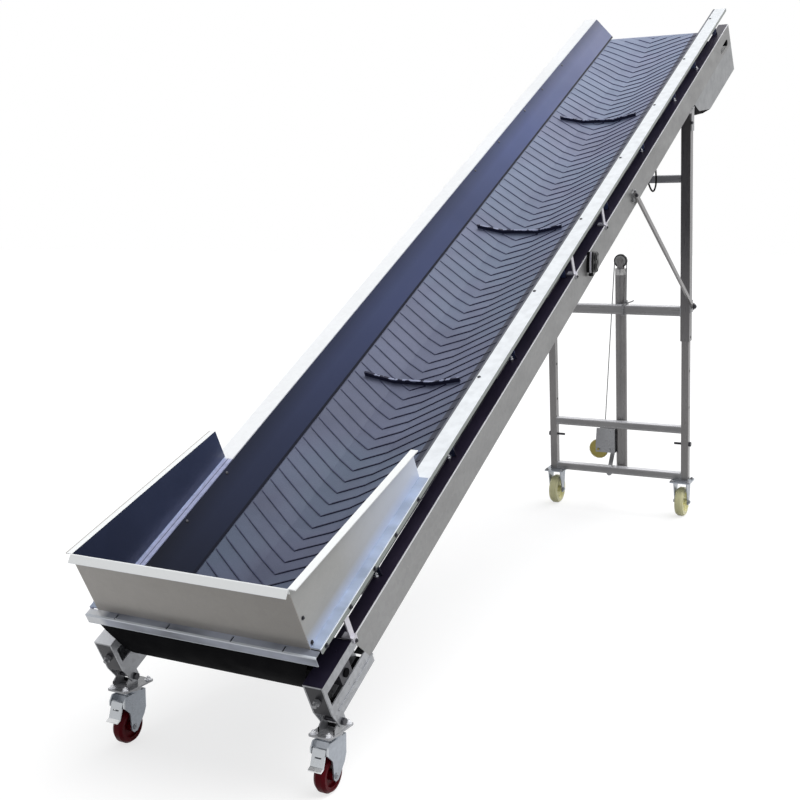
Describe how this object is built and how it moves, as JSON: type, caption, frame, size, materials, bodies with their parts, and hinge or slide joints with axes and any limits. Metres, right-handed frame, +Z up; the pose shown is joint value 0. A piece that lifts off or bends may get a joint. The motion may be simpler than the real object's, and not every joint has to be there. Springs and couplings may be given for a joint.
{
  "type": "mobile belt conveyor",
  "caption": "Inclined trough belt conveyor with herringbone belt, three-sided feed hopper, swivel casters in front and a telescopic winch-lifted portal with fixed casters behind",
  "frame": {"origin": "centre of the underside of the bounding box, on the floor", "axes": "+X to the right when looking from the feed end to the discharge end, +Y from the feed end to the discharge end, +Z up"},
  "size_m": [0.8025, 4.3534, 2.5856],
  "materials": {
    "galvanised": "galvanised sheet, satin",
    "zinc_tube": "zinc-plated tube, satin",
    "zinc_parts": "bright zinc plate",
    "belt_navy": "matt navy belt with a herringbone top",
    "skirt_blue": "dark blue satin paint",
    "black_rubber": "matt",
    "black_plastic": "matt moulding",
    "maroon_tread": "satin polyurethane",
    "cream_nylon": "satin nylon",
    "gear_zinc": "yellow-passivated zinc"
  },
  "bodies": {
    "frame": {"side_channel_right": "galvanised", "side_channel_left": "galvanised", "cross_formers": "galvanised", "slider_pan": "galvanised", "cover_rails": "galvanised", "rail_posts": "galvanised", "hopper_front": "galvanised", "hopper_sides": "galvanised", "head_guard": "galvanised", "skirt_brackets": "galvanised", "outer_legs": "zinc_tube", "outer_cross_tubes": "zinc_tube", "braces": "zinc_tube", "leg_brackets": "zinc_tube", "brace_pads": "zinc_tube", "takeup_frames": "zinc_parts", "tail_bearings": "zinc_parts", "tension_screws": "zinc_parts", "foot_bolts": "zinc_parts", "hoist_rope": "zinc_parts", "hoist_anchor": "zinc_parts", "head_drum": "zinc_parts", "tail_drum": "zinc_parts", "return_rollers": "zinc_parts", "belt": "belt_navy", "skirts": "skirt_blue", "tail_apron": "black_rubber", "guard_flaps": "black_rubber", "motor_cable": "black_rubber", "switch_box": "black_plastic"},
    "lower_portal": {"inner_legs": "zinc_tube", "inner_cross_tubes": "zinc_tube", "lock_pins": "zinc_parts", "mast": "zinc_tube", "mast_pulley": "zinc_parts", "winch_frame": "zinc_parts", "winch_drum": "gear_zinc", "winch_crank": "zinc_parts", "winch_rope": "zinc_parts", "rear_fork_right": "zinc_parts", "rear_fork_left": "zinc_parts"},
    "front_foot_right": {"foot_clevis_right": "zinc_parts"},
    "front_foot_left": {"foot_clevis_left": "zinc_parts"},
    "front_swivel_right": {"front_fork_right": "zinc_parts"},
    "front_swivel_left": {"front_fork_left": "zinc_parts"},
    "front_wheel_right": {"front_wheel_right": "maroon_tread"},
    "front_wheel_left": {"front_wheel_left": "maroon_tread"},
    "rear_wheel_right": {"rear_wheel_right": "cream_nylon"},
    "rear_wheel_left": {"rear_wheel_left": "cream_nylon"}
  },
  "joints": [
    {"name": "portal_slide", "type": "slide", "parent": "frame", "child": "lower_portal", "axis": [0, 0.0976, -0.9952], "range_m": [-0.4, 0.12], "deforming": ["hoist_rope"]},
    {"name": "rear_wheel_right_roll", "type": "hinge", "parent": "lower_portal", "child": "rear_wheel_right", "pos_m": [0.34, 1.51898, 0.075], "axis": [1, 0, 0], "continuous": true},
    {"name": "front_foot_right_tilt", "type": "hinge", "parent": "frame", "child": "front_foot_right", "pos_m": [0.346, -1.95902, 0.197], "axis": [1, 0, 0], "range_deg": [-10, 10]},
    {"name": "front_swivel_right_turn", "type": "hinge", "parent": "front_foot_right", "child": "front_swivel_right", "pos_m": [0.338, -1.95402, 0.153], "axis": [0, 0, 1], "continuous": true},
    {"name": "front_wheel_right_roll", "type": "hinge", "parent": "front_swivel_right", "child": "front_wheel_right", "pos_m": [0.338, -1.97202, 0.05], "axis": [1, 0, 0], "continuous": true},
    {"name": "rear_wheel_left_roll", "type": "hinge", "parent": "lower_portal", "child": "rear_wheel_left", "pos_m": [-0.34, 1.51898, 0.075], "axis": [1, 0, 0], "continuous": true},
    {"name": "front_foot_left_tilt", "type": "hinge", "parent": "frame", "child": "front_foot_left", "pos_m": [-0.346, -1.95902, 0.197], "axis": [1, 0, 0], "range_deg": [-10, 10]},
    {"name": "front_swivel_left_turn", "type": "hinge", "parent": "front_foot_left", "child": "front_swivel_left", "pos_m": [-0.338, -1.95402, 0.153], "axis": [0, 0, 1], "continuous": true},
    {"name": "front_wheel_left_roll", "type": "hinge", "parent": "front_swivel_left", "child": "front_wheel_left", "pos_m": [-0.338, -1.97202, 0.05], "axis": [1, 0, 0], "continuous": true}
  ]
}
